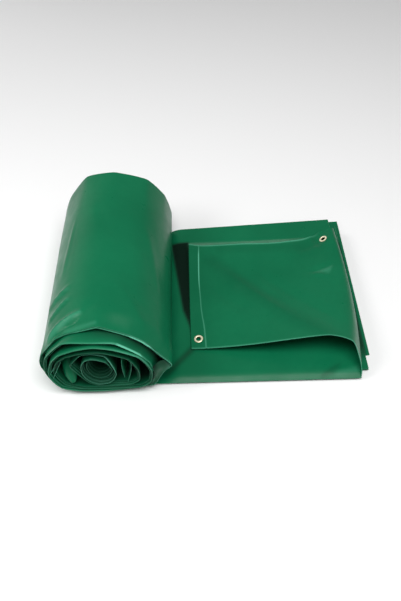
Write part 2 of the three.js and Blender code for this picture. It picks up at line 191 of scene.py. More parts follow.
# Loose end, from the lowest layer up
LAYERS = [
    {"front": (-262, -192), "back": (268, 322), "end": 421},
    {"front": (-259, -238), "back": (266, 318), "end": 408},
    {"front": (-259, -238), "back": (262, 306), "end": 407},
    {"front": (-267, -264), "back": (262, 302), "end": 388},
]
LAYER_THICKNESS = 1.6
LAYER_GAP = 2.8
PRESSED_GAP = 0.2
TOP_LEVEL = 3
NEAR_ROLL = 0.26
TOP_STEPS = [33, 33]  # to the end of what lies near the roll, and on from there
TOP_ROWS = 62
LOWER_STEPS = [9, 11]
LOWER_ROWS = 24
LOWER_END_SHARES = [0.981, 0.992, 1]
LOOSE_START_X = -150
LOOSE_END_X = 400
OPEN_X = -70
BACK_FOLD = {"rise": (0, 0, 4, 17), "top": (205, 224), "slope": 16}
FRONT_DROOP = {"drop": (0, 0, 0, 7), "over": 22}
TURN_Y = [-264, -190, -100, 0, 100, 200, 302]
TURN_X = [384, 396, 398, 396, 392, 387, 384]

# How a painted line fades at its ends, in shares of its length
LINE_START = 0.1
LINE_END = {"from": 0.9, "over": 0.3}

# Painted deep shade on the cloth between the roll and the flap, and a painted shade line for the soft crease
# at its front, in X and Y
DEEP_SHADE = [(-130, 213), (-130, 150), (-104, 70), (-66, -60), (-54, -150), (-46, -176), (-48, 213)]
DEEP_SHADE_EDGE = {"from": -4, "over": 10}
SHADE_LINE = [(-40, -163), (-112, -246)]
SHADE_LINE_TONE = {"half": 16, "most": 0.55}

# Shade on the lower layers under the flap's turn: how far right, and between which places in Y
TURN_SHADE = {
    "most": 0.8,
    "right": {"from": 412, "over": 5},
    "front": {"from": -215, "over": 40},
    "back": {"from": 215, "over": 30},
}

# Painted shade and painted highlight of a crease at the front right corner of the top loose layer; the cloth
# is not creased there
CORNER_SHADE = [(288, -258), (330, -228)]
CORNER_GLINT = [(322, -252), (384, -240)]
CORNER_SHADE_TONE = {"half": 13, "most": 0.3}
CORNER_GLINT_TONE = {"half": 17, "most": 0.1, "narrow": 0.5}

# Shade in the roll's open end, by how many turns in
INNER_SHADE = {"from": 1.3, "over": 0.4, "depth": 24, "most": 0.92}
SHADE_GONE = {"from": 0.8, "over": 0.2}  # toward the back end, in shares of the roll's length
CAVITY_SHADE = {"from": 2.6, "over": 0.3, "share": 0.42}
CORE_SHADE = {"from": 4.4, "over": 0.3, "share": 0.75}
BETWEEN_LAYERS_SHADE = 0.6

# Flap: the top layer turned back, from the turn leftward
FLAP_FRONT = [
    (384, -262, 12), (383, -252, 30), (375, -226, 56), (362, -204, 80), (347, -199, 88),
    (320, -192, 90), (281, -187, 87), (214, -187, 76), (154, -185, 61), (100, -182, 47),
    (53, -178, 35), (-8, -174, 24), (-46, -171, 19),
]
FLAP_MIDDLE = [
    (397, -20, 15), (400, -20, 28), (397, -20, 44), (386, -19, 56), (370, -18, 60),
    (340, -15, 58), (290, -10, 51), (216, -5, 39), (150, 0, 33), (98, 2, 29),
    (45, 5, 28), (-14, 8, 28), (-48, 10, 27),
]
FLAP_BACK = [
    (390, 262, 26), (391, 250, 36), (388, 243, 48), (379, 240, 54), (366, 240, 47),
    (346, 238, 38), (322, 222, 36), (286, 208, 36), (195, 198, 36), (110, 197, 36),
    (40, 193, 36), (-14, 192, 36), (-48, 199, 36),
]
FLAP_START_SHARE = 0.035
ROOT_THICKNESS = 0.8

# Creases of the flap, in the same form
FLAP_CREASES = [
    ((10, 135, 30), (318, -205, 92), -7.0, (26, 42)),
    ((120, 120, 33), (345, -140, 90), 4.0, (26, 40)),
    ((372, 98, 54), (290, 70, 44), 4.5, (9, 20)),
    ((352, 44, 54), (296, 68, 44), -2.6, (9, 14)),
    ((356, 196, 44), (270, 168, 36), 3.0, (7, 22)),
    ((345, 225, 44), (230, 196, 36), -3.4, (8, 20)),
    ((-30, 60, 28), (120, -60, 33), 2.5, (24, 40)),
]

# Lines of the flap's painted shade in its valleys, and the outline of its painted highlight, in X and Y
FLAP_VALLEY = [(20, 131), (300, -185)]
FLAP_BACK_VALLEY = [(40, 176), (300, 182)]
FLAP_GLINT = [(304, 72), (350, 56), (364, 94)]

# Painted shade and painted highlights of the flap (valleys, weld, front and back edges, glint, turn): how
# strong each is, and how far it reaches
VALLEY_TONE = {"half": 44, "most": 0.16}
BACK_VALLEY_TONE = {"half": 30, "most": 0.12}
GLINT_TONE = {"from": -2, "over": 9, "most": 0.13}
WELD_TONE = {"from": 0.5, "over": 0.2, "least": 0.3, "more": 0.6}
WELD_TONE_GONE = {"from": 0.88, "over": 0.1}
FRONT_EDGE_TONE = {"from": 0, "over": 0.012, "most": 0.3}
BACK_EDGE_TONE = {"from": 0.988, "over": 0.012, "most": 0.5}
BACK_EDGE_SHARES = {"from": 0.4, "over": 0.2}
TURN_TONE = {"share": 0.1, "half": 0.012, "from_depth": 0.06, "most": 0.3}

# A round-ended fold in the roll's open end
LOBE = {
    "ridge": [(-352, -200, 120), (-347, -240, 110), (-341, -270, 86), (-335, -289, 54)],
    "grid": (26, 15),
    "radius": 18,
    "spread": 2.0,
    "length": 80,
    "start": {"from": 0, "over": 0.5, "least": 0.7, "more": 0.3},
    "end": {"from": 0.6, "over": 0.42, "least": 0.02},
}

# Narrow folds: the points of the front edge, how far the back end lies from it, and how pale its painted
# highlight along the front edge is
PLEATS = [
    ([(-366, -276, 122), (-378, -281, 100), (-390, -284, 78)], (10, 90, 20), 0.9),
    ([(-356, -278, 126), (-370, -283, 96), (-384, -287, 66)], (14, 90, 16), 0.6),
    ([(-212, -283, 134), (-213, -284, 110), (-210, -284, 62)], (6, 110, 4), 0.35),
    ([(-190, -282, 134), (-192, -284, 96), (-204, -286, 44)], (2, 110, 6), 0.35),
]
PLEAT_STEPS = 16
PLEAT_SHARES = [0.0, 0.03, 0.2, 0.6, 1.0]
PLEAT_PALE = [1.0, 0.3, 0, 0, 0]
PLEAT_CLOTH = (60, 100)

# The outer turn's turned-in end, between its own front edge and the next turn's
GUSSET = {
    "outer": [(-112, -271, 116), (-99, -273, 92), (-118, -274, 66), (-131, -276, 40), (-143, -279, 20)],
    "inner": [(-139, -281, 104), (-138, -283, 90), (-138, -284, 70), (-145, -284, 42), (-154, -284, 22)],
    "hollow": 5,
}
GUSSET_GRID = (9, 22)
GUSSET_CLOTH = (30, 120)
# Painted highlight near the gusset's outer edge, and painted shade over it, darker at the top and toward the
# inner side
GUSSET_PALE = {"most": 0.35, "across": 0.3, "share": 0.3, "half": 0.2, "edge": 0.3}
GUSSET_SHADE = {"least": 0.45, "upper": 0.3, "upper_share": 0.4, "inner": 0.25, "from": 0.6, "over": 0.4}

# Flap's root in the turn, weld line, hems and eyelets. A share is along the flap, a depth across it.
ROOT = {"lap": 9, "front_inset": 1, "back_y": 262}
WELD_SHARE = 11 / 12
WELD_STEPS = [-0.012, -0.005, 0, 0.005, 0.012]
WELD_HEIGHT = 0.9
WELD_DEPTHS = [0, 0.15, 0.4, 0.65, 0.9, 1]
WELD_SHIFT = [0, 0, 0.011, 0.016, 0.014, 0.012]
WELD_SHIFT_OVER = 0.05
CLEAR_OF_WELD = 0.003
CLEAR_OF_HOLE = 0.6
EYELET_HOLE = 7.3
SIDE_HEM_DEPTH = 0.84
SIDE_HEM_START = {"from": 0.29, "over": 0.01}
HEM_STEP = 0.004
FLAP_LENGTH = 520
FLAP_EDGE_ROWS = [0.0, 0.006, 0.014]
FLAP_MARGIN = 0.026
ROOT_SHARES = [0.2, 0.6]  # where the two rows of the root lie before the flap's first row
FLAP_STEPS = 90
FLAP_ROWS = 72
FRONT_EYELET = {"place": (-27, -142), "lean": (0, 0, 0)}
BACK_EYELET = {"place": (353, 205), "lean": (-0.24, 0.1, 0)}
SEAT_FROM_SHARE = 0.3
SEAT_GRID = (141, 201)
FLAT_AROUND = (20, 38)


def mix(a, b, t):
    return a + (b - a) * t


def smooth(t):
    t = np.clip(t, 0, 1)
    return t * t * (3 - 2 * t)


def rising(value, span):
    """A smooth step from 0, at the span's from, to 1 at the end of its over."""
    return smooth((value - span["from"]) / span["over"])


def along(places, values, at):
    """A value between the rows of a table, on a smooth curve."""
    places = np.asarray(places, float)
    values = np.asarray(values, float)
    at = np.asarray(at, float)
    i = np.clip(np.searchsorted(places, at, side="right") - 1, 0, len(places) - 2)
    t = (at - places[i]) / (places[i + 1] - places[i])
    return mix(values[i], values[i + 1], smooth(t))


def unit(v):
    return v / np.maximum(np.linalg.norm(v, axis=-1, keepdims=True), 1e-9)


def leftward_of(ahead):
    return np.stack([-ahead[..., 1], ahead[..., 0]], -1)


def cubic(start, end, leave, arrive):
    third = 3 * (end - start) - 2 * leave - arrive
    fourth = 2 * (start - end) + leave + arrive
    return np.stack([start, leave, third, fourth])


def on_cubic(terms, t):
    """The place on a cubic, and its rate of change."""
    a, b, c, d = terms
    return a + t * (b + t * (c + t * d)), b + t * (2 * c + 3 * t * d)


def closed_line(points, facets=1.0):
    p = np.array(points, float)
    before, after, beyond = np.roll(p, 1, 0), np.roll(p, -1, 0), np.roll(p, -2, 0)
    return cubic(p, after, (after - before) / 2 * facets, (beyond - p) / 2 * facets)


def open_line(points):
    """A curve through the points whose pace follows the root of their distances."""
    p = np.array(points, float)
    p = np.vstack([2 * p[0] - p[1], p, 2 * p[-1] - p[-2]])
    pace = np.linalg.norm(np.diff(p, axis=0), axis=1)[:, None] ** 0.5
    a, b, c, d = p[:-3], p[1:-2], p[2:-1], p[3:]
    pa, pb, pc = pace[:-2], pace[1:-1], pace[2:]
    leave = ((b - a) / pa - (c - a) / (pa + pb) + (c - b) / pb) * pb
    arrive = ((c - b) / pb - (d - b) / (pb + pc) + (d - c) / pc) * pb
    return cubic(b, c, leave, arrive)


def on_line(line, share, closed=False):
    """Points of a line, and its direction, at shares from 0 to 1 in which every piece counts the same."""
    pieces = line.shape[1]
    place = np.asarray(share, float) * pieces
    i = np.floor(place).astype(int)
    if not closed:
        i = np.clip(i, 0, pieces - 1)
    point, ahead = on_cubic(line[:, i % pieces], (place - i)[..., None])
    return point, unit(ahead)


ROLL_LINES = closed_line(OUTLINE_FRONT, FACETS), closed_line(OUTLINE_BACK, FACETS)
ROUND_LINES = closed_line(OUTLINE_FRONT), closed_line(OUTLINE_BACK)


def rail_at(turn):
    """The front end of the inner turns: a point of the cloth's outer side in X and Z, its outward
    direction, and the Y of its front edge."""
    rows = np.array(RAIL, float)
    places, p = rows[:, 0], rows[:, 1:]
    slope = np.gradient(p, places, axis=0) * RAIL_FACETS
    i = np.clip(np.searchsorted(places, turn, side="right") - 1, 0, len(rows) - 2)
    span = (places[i + 1] - places[i])[..., None]
    t = np.clip((turn[..., None] - places[i][..., None]) / span, 0, 1)
    point, ahead = on_cubic(cubic(p[i], p[i + 1], slope[i] * span, slope[i + 1] * span), t)
    return point[..., :2], leftward_of(unit(ahead[..., :2])), point[..., 2]


def outline_at(turn, depth):
    """A point of the roll's outline in X and Z, and its outward direction."""
    depth = depth[..., None]
    faceted = np.maximum(1 - smooth(depth / FACETED_FRONT), rising(depth, FACETED_BACK))
    (front, front_ahead), (back, back_ahead) = [on_line(line, turn, closed=True) for line in ROLL_LINES]
    (near, near_ahead), (far, far_ahead) = [on_line(line, turn, closed=True) for line in ROUND_LINES]
    point = mix(mix(near, far, depth), mix(front, back, depth), faceted)
    point[..., 1] = np.maximum(point[..., 1], BAND_THICKNESS / 2)
    ahead = mix(mix(near_ahead, far_ahead, depth), mix(front_ahead, back_ahead, depth), faceted)
    return point, leftward_of(unit(ahead))


def beside_line(points, start, end):
    """Each point's way from a line's start, the line's direction, and the point's share along it."""
    start, end = np.array(start, float), np.array(end, float)
    length = np.linalg.norm(end - start)
    ahead = (end - start) / length
    away = points - start
    return away, ahead, away @ ahead / length


def creased(points, outward, creases):
    """The points moved by each crease: a ridge, or a trough, that widens from its first end."""
    moved = np.zeros(points.shape[:-1])
    for start, end, height, half in creases:
        away, ahead, share = beside_line(points, start, end)
        flat = away - (away @ ahead)[..., None] * ahead
        flat = flat - (flat * outward).sum(-1, keepdims=True) * outward
        side = np.linalg.norm(flat, axis=-1)
        wide = mix(*half, np.clip(share, 0, 1))
        taper = smooth(share / CREASE_START) * (1 - rising(share, CREASE_END))
        near = 1 - smooth(abs((away * outward).sum(-1)) / CREASE_REACH - 0.5)
        moved += height * near * taper * np.maximum(1 - side / wide, 0) ** CREASE_SHARPNESS
    return points + outward * moved[..., None]


def wound(turn, depth, inward):
    """A point of the wound band after so many turns, this far inward from its outer side."""
    point, outward = outline_at(turn, depth)
    sideways = np.where(outward[..., 0] < 0, WALL["left"], WALL["right"])
    upright = np.where(outward[..., 1] < 0, WALL["bottom"], WALL["top"])
    wall = sideways * outward[..., 0] ** 2 + upright * outward[..., 1] ** 2
    packed = np.clip((turn - FLAT_TURN) / (PACKED_TURNS - FLAT_TURN), 0, 1)
    corner = smooth(1 - abs(turn - CORNER["turn"]) / CORNER["turns_wide"])
    corner = corner * CORNER["reach"] * smooth(1 - depth * BAND_WIDTH / CORNER["depth"])
    point = point + outward * (corner - wall * packed)[..., None]
    angle = np.arctan2(outward[..., 1], outward[..., 0])
    inner = np.maximum(0, turn - PACKED_TURNS - 1) * CORE["narrowing"]
    core_x = CORE["x"] + (CORE["across"] - inner) * np.cos(angle)
    core_z = CORE["z"] + (CORE["high"] - inner) * np.sin(angle)
    point = mix(point, np.stack([core_x, core_z], -1), smooth(turn - PACKED_TURNS)[..., None])
    point = point - outward * (inward - BAND_THICKNESS / 2)[..., None]
    rail, rail_outward, front = rail_at(turn)
    rail = rail - rail_outward * inward[..., None]
    reach = along(RAIL_TURNS, RAIL_DEPTH, turn)
    near = (smooth(turn / RAIL_START) * (1 - smooth(depth * BAND_WIDTH / reach)))[..., None]
    point = mix(point, rail, near)
    return np.stack([point[..., 0], front + depth * BAND_WIDTH, point[..., 1]], -1)


def open_at(x):
    return smooth((x - LOOSE_START_X) / (OPEN_X - LOOSE_START_X))


def fan_at(x):
    return (x - LOOSE_START_X) / (LOOSE_END_X - LOOSE_START_X)


def edge_at(level, side, x):
    return mix(*LAYERS[level][side], fan_at(x))


def layer_point(level, x, y):
    """A point in the middle of a loose layer, with the raised back fold and the front's droop."""
    opened = open_at(x)
    pitch = LAYER_THICKNESS + mix(PRESSED_GAP, LAYER_GAP, opened)
    foot = mix(*BACK_FOLD["top"], fan_at(x)) - BACK_FOLD["slope"]
    rise = BACK_FOLD["rise"][level] * opened * smooth((y - foot) / BACK_FOLD["slope"])
    near_front = 1 - smooth((y - edge_at(level, "front", x)) / FRONT_DROOP["over"])
    droop = FRONT_DROOP["drop"][level] * opened * near_front**2
    return np.stack([x, y, LAYER_THICKNESS / 2 + level * pitch + rise - droop], -1)


FLAP_LINES = [open_line(rows) for rows in (FLAP_FRONT, FLAP_MIDDLE, FLAP_BACK)]


def free_flap_point(share, depth):
    front, middle, back = [on_line(line, share)[0] for line in FLAP_LINES]
    depth = np.asarray(depth, float)[..., None]
    near = front * (1 - depth) * (1 - 2 * depth)
    return near + middle * 4 * depth * (1 - depth) + back * depth * (2 * depth - 1)


def eyelet_seat(place, lean):
    """Where an eyelet sits on the flap, which way the cloth faces there once it leans, its shares of
    the flap, and how far the flap reaches along and across for a share of 1."""
    places = np.linspace(SEAT_FROM_SHARE, 1, SEAT_GRID[0]), np.linspace(0, 1, SEAT_GRID[1])
    share, depth = np.meshgrid(*places, indexing="ij")
    away = np.linalg.norm(free_flap_point(share, depth)[..., :2] - np.array(place), axis=-1)
    best = np.unravel_index(away.argmin(), away.shape)
    s, d, near = share[best], depth[best], 0.01
    leftward = free_flap_point(s + near, d) - free_flap_point(s - near, d)
    backward = free_flap_point(s, d + near) - free_flap_point(s, d - near)
    normal = unit(unit(np.cross(backward, leftward)) + np.array(lean))
    reach = np.linalg.norm(leftward) / (2 * near), np.linalg.norm(backward) / (2 * near)
    return free_flap_point(s, d), normal, (s, d), reach


SEATS = [eyelet_seat(**FRONT_EYELET), eyelet_seat(**BACK_EYELET)]


def flap_point(share, depth):
    place = free_flap_point(share, depth)
    for point, normal, _, _ in SEATS:
        away = place - point
        distance = np.linalg.norm(away, axis=-1)
        pull = 1 - smooth((distance - FLAT_AROUND[0]) / (FLAT_AROUND[1] - FLAT_AROUND[0]))
        place = place - (away @ normal * pull)[..., None] * normal
    return place


def normals_of(grid):
    i, j = np.gradient(grid, axis=(0, 1))
    return unit(np.cross(i, j))


# The sides of a grid of points in turn: which axis they cut, their row or column, and the way along
ONWARD, BACKWARD = slice(None, -1), slice(None, 0, -1)
SIDES = [(1, 0, ONWARD), (0, -1, ONWARD), (1, -1, BACKWARD), (0, 0, BACKWARD)]


def across_of(grid, axis, edge):
    """The way out of the sheet at its first or last row or column, along the sheet."""
    inner = 1 if edge == 0 else -2
    return unit(np.take(grid, edge, axis) - np.take(grid, inner, axis))


def in_frame(points):
    """Points in the frame's metres."""
    return (np.asarray(points, float) + ORIGIN) * METRES


def mesh_of(name, points, faces, **values):
    """A smooth mesh in the frame, with named values for its points."""
    mesh = bpy.data.meshes.new(name)
    mesh.from_pydata(in_frame(points).tolist(), [], faces.tolist())
    mesh.shade_smooth()
    for title, numbers in values.items():
        attribute = mesh.attributes.new(title, "FLOAT", "POINT")
        attribute.data.foreach_set("value", numbers.astype(np.float32))
    return mesh


def placed(name, data):
    obj = bpy.data.objects.new(name, data)
    bpy.context.scene.collection.objects.link(obj)
    return obj


class Cloth:
    """One piece of cloth, gathered from grids of points that are each given a thickness."""

    def __init__(self):
        self.points, self.faces, self.sharp, self.uv = [], [], [], []
        self.pale, self.shade = [], []
        self.count = 0

    def add(self, grid, thickness, uv, pale=0.0, shade=0.0, edge_pale=EDGE_PALE, holes=()):
        """grid is the middle surface. uv holds the place of each point on the flat cloth. A hole is a
        block of the grid: its first and last row, and its first and last column."""
        zero = np.zeros(grid.shape[:2])
        half = (zero + thickness)[..., None] / 2
        normal = normals_of(grid)
        top = (grid + normal * half).reshape(-1, 3)
        under = (grid - normal * half).reshape(-1, 3)
        cell = np.arange(zero.size).reshape(zero.shape)
        ring = np.concatenate([np.take(cell, edge, axis)[part] for axis, edge, part in SIDES])
        out = np.concatenate([across_of(grid, axis, edge)[part] for axis, edge, part in SIDES])
        flat = grid.reshape(-1, 3)
        edge = flat[ring] + out * half.reshape(-1, 1)[ring] * 2 * EDGE_LIP
        base, size = self.count, zero.size
        self.points += [top, under, edge]
        paler, darker = (zero + pale).ravel(), (zero + shade).ravel()
        self.pale += [paler, paler, np.maximum(paler[ring], edge_pale)]
        self.shade += [darker, darker, darker[ring]]
        places = uv.reshape(-1, 2)
        self.uv += [places, places, places[ring]]
        a, b, c, d = cell[:-1, :-1], cell[1:, :-1], cell[1:, 1:], cell[:-1, 1:]
        kept = np.ones(a.shape, bool)
        for i0, i1, j0, j1 in holes:
            kept[i0:i1, j0:j1] = False
            one_way = cell[i0, j0:j1], cell[i0:i1, j1]
            back_again = cell[i1, j1:j0:-1], cell[i1:i0:-1, j0]
            side = np.concatenate([*one_way, *back_again])
            onward = np.roll(side, -1)
            self.faces.append(np.stack([side, side + size, onward + size, onward], -1) + base)
        upper = np.stack([a, b, c, d], -1)[kept] + base
        lower = np.stack([a, d, c, b], -1)[kept] + base + size
        here, there = ring, np.roll(ring, -1)
        middle = np.arange(len(ring)) + 2 * size
        onward = np.roll(middle, -1)
        upper_side = np.stack([here, middle, onward, there], -1) + base
        lower_side = np.stack([middle, here + size, there + size, onward], -1) + base
        self.faces += [upper, lower, upper_side, lower_side]
        for start in (base, base + size):
            self.sharp.append(np.stack([here, there], -1) + start)
        self.count += 2 * size + len(ring)

    def object(self, name, material):
        points, faces = np.concatenate(self.points), np.concatenate(self.faces)
        pale, shade = np.concatenate(self.pale), np.concatenate(self.shade)
        mesh = mesh_of(name, points, faces, pale=pale, shade=shade)
        mesh.materials.append(material)
        corner_points = np.empty(len(mesh.loops), np.int32)
        mesh.loops.foreach_get("vertex_index", corner_points)
        layer = mesh.uv_layers.new(name="cloth")
        places = (np.concatenate(self.uv) * METRES).astype(np.float32)
        layer.uv.foreach_set("vector", places[corner_points].ravel())
        edges = np.empty(len(mesh.edges) * 2, np.int32)
        mesh.edges.foreach_get("vertices", edges)
        keys = np.sort(edges.reshape(-1, 2), axis=1).astype(np.int64)
        sharp = np.sort(np.concatenate(self.sharp), axis=1)
        width = self.count + 1
        marked = np.isin(keys[:, 0] * width + keys[:, 1], sharp[:, 0] * width + sharp[:, 1])
        mark = mesh.attributes.new("sharp_edge", "BOOLEAN", "EDGE")
        mark.data.foreach_set("value", marked)
        return placed(name, mesh)


def grid_of(i_values, j_values):
    return np.meshgrid(np.asarray(i_values, float), np.asarray(j_values, float), indexing="ij")


def inside(points, corners):
    """How far each point lies inside the sides of a convex outline, given counterclockwise."""
    corners = np.array(corners, float)
    depth = np.full(points.shape[:-1], np.inf)
    for a, b in zip(corners, np.roll(corners, -1, 0)):
        ahead, away = unit(b - a), points - a
        depth = np.minimum(depth, ahead[0] * away[..., 1] - ahead[1] * away[..., 0])
    return depth


def near_line(place, line, half, narrow=0.0):
    """How near each place lies to a line in X and Y: 1 on it, and 0 from half its width outward.
    The width at the line's start is smaller by the share narrow."""
    away, ahead, share = beside_line(place, *line)
    side = abs(ahead[0] * away[..., 1] - ahead[1] * away[..., 0])
    wide = half * (1 - narrow * (1 - np.clip(share, 0, 1)))
    return (1 - smooth(side / wide)) * smooth(share / LINE_START + 1) * (1 - rising(share, LINE_END))


def toned(place, line, tone):
    """The strength of a tone along a line."""
    return tone["most"] * near_line(place, line, tone["half"], tone.get("narrow", 0.0))


def beside_roll(place):
    """How dark the deep shade between the roll and the flap makes the cloth, from 0 to 1."""
    dark = rising(inside(place, DEEP_SHADE), DEEP_SHADE_EDGE)
    return np.maximum(dark, toned(place, SHADE_LINE, SHADE_LINE_TONE))


def under_turn(x, y):
    """How dark the flap's turn makes the lower layers beside it."""
    dark = (1 - rising(x, TURN_SHADE["right"])) * TURN_SHADE["most"]
    return dark * rising(y, TURN_SHADE["front"]) * (1 - rising(y, TURN_SHADE["back"]))


# The wound band: its layers go back and forth between folds at the front and at the back
def band_section(fine_rows):
    """The rows of the band's section: for each, its place inward, its layer, its place from front to
    back, and how far it stands out of the fold there."""
    rows = []
    for layer in range(LAYERS_WOUND):
        depths = np.array(WOUND_ROWS)
        if layer == 0 and fine_rows:
            further = np.linspace(OUTER_ROWS_FROM, 1, fine_rows) ** OUTER_ROWS_CROWDED
            depths = np.concatenate([OUTER_FIRST_ROWS, further])
        if layer % 2 == 0:
            depths = depths[::-1]
        rows += [(layer, layer, depth, 0.0) for depth in depths]
        if layer + 1 < LAYERS_WOUND:
            at_front = layer % 2 == 0
            for step in (-0.5, 0, 0.5):
                out = math.cos(step * math.pi / 2) * LAYER_PITCH / 2
                inward = layer + 0.5 + math.sin(step * math.pi / 2) / 2
                rows.append((inward, layer, 0.0 if at_front else 1.0, -out if at_front else out))
    return np.array(rows)


def band_tones(turn, depth, layer):
    """The band's painted highlight and painted shade after so many turns, so far back and in this layer."""
    crest = 1 - smooth(depth * BAND_WIDTH / PALE_EDGE)
    pale = along(*zip(*PALE), turn) * crest
    shade = smooth(depth * BAND_WIDTH / INNER_SHADE["depth"]) * rising(turn, INNER_SHADE)
    shade = np.maximum(shade, CAVITY_SHADE["share"] * rising(turn, CAVITY_SHADE))
    shade = np.maximum(shade, CORE_SHADE["share"] * (layer > 0) * rising(turn, CORE_SHADE))
    between = (layer > 0) & (layer < LAYERS_WOUND - 1)
    shade = np.maximum(shade, BETWEEN_LAYERS_SHADE * between * smooth(depth / WOUND_ROWS[1]))
    shade = shade * INNER_SHADE["most"] * (1 - rising(depth, SHADE_GONE))
    return pale, shade


def wound_band(cloth, turns, fine_rows=0):
    section = band_section(fine_rows)
    turn, place = grid_of(turns, section[:, 0])
    layer = section[:, 1].astype(int)
    depth = np.broadcast_to(section[:, 2], turn.shape)
    room = CREASE_ROOM * (layer > 0) * (turn < 1) * smooth(depth / CREASE_ROOM_GROWN)
    room = room * (1 - rising(depth, CREASE_ROOM_GONE))
    front_recess, inner_recess = np.array(FRONT_RECESS)[layer], np.array(INNER_RECESS)[layer]
    recess = mix(front_recess, inner_recess, smooth(turn - INNER_FROM_TURN))
    recessed = depth + recess * (1 - depth) / BAND_WIDTH
    grid = wound(turn, recessed, (place + OUTER_INSET) * LAYER_PITCH + room)
    if fine_rows:
        outer = layer == 0
        outer_grid = grid[:, outer]
        grid[:, outer] = creased(outer_grid, -normals_of(outer_grid), CREASES)
    grid[..., 1] += section[:, 3]
    pale, shade = band_tones(turn, depth, layer)
    if fine_rows:
        above = grid[..., 2] > GLINTS_ABOVE
        for line, half, most in CREASE_GLINTS:
            pale = np.maximum(pale, most * near_line(grid[..., :2], line, half, GLINT_NARROWING) * above)
    if turns[0] == 0:
        added = len(FLOOR_X)
        floor = np.repeat(grid[:1], added, axis=0)
        floor[..., 0] = np.array(FLOOR_X)[:, None]
        grid = np.concatenate([floor, grid])
        turn = np.concatenate([turn[:added] + np.array(FLOOR_TURNS)[:, None], turn])
        depth, pale, shade = [np.concatenate([rows[:added], rows]) for rows in (depth, pale, shade)]
    uv = np.stack([turn * CLOTH_A_TURN, depth * BAND_WIDTH + place[:1] * BAND_WIDTH], -1)
    cloth.add(grid, CLOTH_THICKNESS, uv, pale=pale, shade=shade, edge_pale=ROLL_EDGE_PALE)


def stepped(places, steps):
    """Values from the first place to the last, with so many even steps between each two."""
    parts = [np.linspace(a, b, n, endpoint=False) for a, b, n in zip(places, places[1:], steps)]
    return np.concatenate([*parts, places[-1:]])


def roll(cloth):
    wound_band(cloth, stepped(OUTER_TURNS, OUTER_STEPS), OUTER_ROWS)
    wound_band(cloth, stepped(INNER_TURNS, INNER_STEPS))


def loose(cloth):
    for level, layer in enumerate(LAYERS):
        end = layer["end"]
        top = level == TOP_LEVEL
        steps, rows = (TOP_STEPS, TOP_ROWS) if top else (LOWER_STEPS, LOWER_ROWS)
        share = stepped([0, NEAR_ROLL, 1], steps)
        if not top:
            share = np.concatenate([share[:-1], LOWER_END_SHARES])
        depths = np.linspace(0, 1, rows)
        s, d = grid_of(share, depths)
        flat_x = mix(LOOSE_START_X, end, s)
        y = mix(edge_at(level, "front", flat_x), edge_at(level, "back", flat_x), d)
        last = along(TURN_Y, TURN_X, y) if top else end
        x = mix(LOOSE_START_X, last, s)
        uv = np.stack([x, y], -1)
        shade, pale = under_turn(x, y), 0.0
        if top:
            shade = np.maximum(beside_roll(uv), toned(uv, CORNER_SHADE, CORNER_SHADE_TONE))
            pale = toned(uv, CORNER_GLINT, CORNER_GLINT_TONE)
        tones = {"pale": pale, "shade": shade, "edge_pale": LOOSE_EDGE_PALE}
        cloth.add(layer_point(level, x, y), LOOSE_THICKNESS, uv, **tones)


def with_lines(values, lines, clear):
    """The values with these lines added, and none of the others closer to a line than clear."""
    for line in lines:
        values = values[abs(values - line) > clear]
    return np.sort(np.concatenate([values, lines]))


def flap_tones(s, d, place, on_weld):
    """The flap's painted highlights and painted shade at its shares along and across."""
    shade = toned(place, FLAP_VALLEY, VALLEY_TONE)
    shade = np.maximum(shade, toned(place, FLAP_BACK_VALLEY, BACK_VALLEY_TONE))
    weld = WELD_TONE["more"] * rising(d, WELD_TONE) * (1 - rising(d, WELD_TONE_GONE))
    front = FRONT_EDGE_TONE["most"] * (1 - rising(d, FRONT_EDGE_TONE))
    glint = GLINT_TONE["most"] * rising(inside(place, FLAP_GLINT), GLINT_TONE)
    turn = TURN_TONE["most"] * (1 - smooth(abs(s - TURN_TONE["share"]) / TURN_TONE["half"]))
    back = BACK_EDGE_TONE["most"] * rising(d, BACK_EDGE_TONE) * rising(s, BACK_EDGE_SHARES)
    pale = on_weld * (WELD_TONE["least"] + weld)
    for tone in (front, glint, turn * (d > TURN_TONE["from_depth"]), back):
        pale = np.maximum(pale, tone)
    return pale, shade


